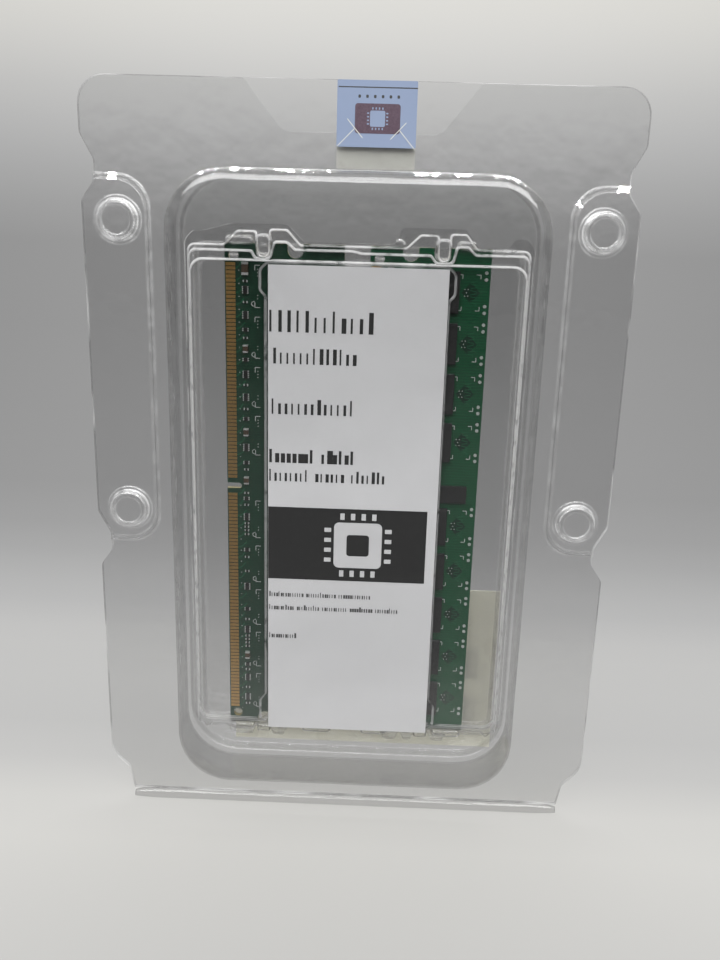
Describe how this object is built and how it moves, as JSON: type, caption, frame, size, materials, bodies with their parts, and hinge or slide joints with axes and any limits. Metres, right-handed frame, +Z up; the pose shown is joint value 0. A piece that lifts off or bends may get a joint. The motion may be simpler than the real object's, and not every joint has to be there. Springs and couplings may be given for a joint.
{
  "type": "memory module kit",
  "caption": "Registered memory modules lying in a formed clear tray behind a folded leaflet, inside a clear hinged clamshell closed by a paper seal.",
  "frame": {"origin": "centre of the pack's footprint, on the surface it stands on, under the living hinge", "axes": "+Z up along the standing modules, +Y towards the pack's back, +X across it away from the modules' contact edges"},
  "size_m": [0.1366, 0.0202, 0.1973],
  "materials": {
    "clear_sheet": "clear, glossy formed sheet",
    "tray_sheet": "clear, glossy formed sheet",
    "leaflet_paper": "smooth uncoated print paper",
    "label_paper": "coated label paper",
    "seal_paper": "coated, pale blue",
    "laminate": "glossy solder mask over glass-fibre laminate",
    "gold_contacts": "plated",
    "chip_mould": "fine matte mould compound",
    "chip_substrate": "dark green laminate",
    "solder": "bright solder",
    "resistor_body": "black glaze over ceramic",
    "capacitor_body": "fired ceramic"
  },
  "bodies": {
    "back": {"back_shell": "clear_sheet", "living_hinge": "clear_sheet", "rear_label": "label_paper", "seal_rear": "seal_paper", "tray_base": "tray_sheet"},
    "front": {"front_shell": "clear_sheet", "seal_front": "seal_paper"},
    "cover": {"tray_cover": "tray_sheet"},
    "leaflet": {"leaflet_cover": "leaflet_paper", "leaflet_pages": "leaflet_paper"},
    "module_a": {"board_a": "laminate", "capacitors_a": "capacitor_body", "chip_resistors_a": "resistor_body", "chip_substrates_a": "chip_substrate", "clock_chip_a": "chip_mould", "contacts_rear_a": "gold_contacts", "contacts_visible_a": "gold_contacts", "memory_chips_rear_a": "chip_mould", "memory_chips_visible_a": "chip_mould", "module_label_a": "label_paper", "register_chip_a": "chip_mould", "resistor_arrays_a": "resistor_body", "solder_balls_a": "solder", "solder_joints_a": "solder", "spd_chip_a": "chip_mould", "spd_leads_a": "solder"},
    "module_b": {"board_b": "laminate", "capacitors_b": "capacitor_body", "chip_resistors_b": "resistor_body", "chip_substrates_b": "chip_substrate", "clock_chip_b": "chip_mould", "contacts_rear_b": "gold_contacts", "contacts_visible_b": "gold_contacts", "memory_chips_rear_b": "chip_mould", "memory_chips_visible_b": "chip_mould", "module_label_b": "label_paper", "register_chip_b": "chip_mould", "resistor_arrays_b": "resistor_body", "solder_balls_b": "solder", "solder_joints_b": "solder", "spd_chip_b": "chip_mould", "spd_leads_b": "solder"}
  },
  "joints": [
    {"name": "front_hinge", "type": "hinge", "parent": "back", "child": "front", "pos_m": [0, 0.0057, 0.0007], "axis": [1, 0, 0], "range_deg": [0, 180]},
    {"name": "leaflet_lift", "type": "slide", "parent": "back", "child": "leaflet", "axis": [0, -1, 0], "range_m": [0, 0.048]},
    {"name": "cover_lift", "type": "slide", "parent": "back", "child": "cover", "axis": [0, -1, 0], "range_m": [0, 0.032]},
    {"name": "module_a_lift", "type": "slide", "parent": "back", "child": "module_a", "axis": [0, -1, 0], "range_m": [0, 0.016]},
    {"name": "module_b_lift", "type": "slide", "parent": "back", "child": "module_b", "axis": [0, -1, 0], "range_m": [0, 0.016]}
  ],
  "couplings": [
    {"joint": "leaflet_lift", "follows": "front_hinge", "m_per_rad": 0.0152},
    {"joint": "cover_lift", "follows": "front_hinge", "m_per_rad": 0.0101},
    {"joint": "module_a_lift", "follows": "front_hinge", "m_per_rad": 0.005},
    {"joint": "module_b_lift", "follows": "front_hinge", "m_per_rad": 0.005}
  ]
}
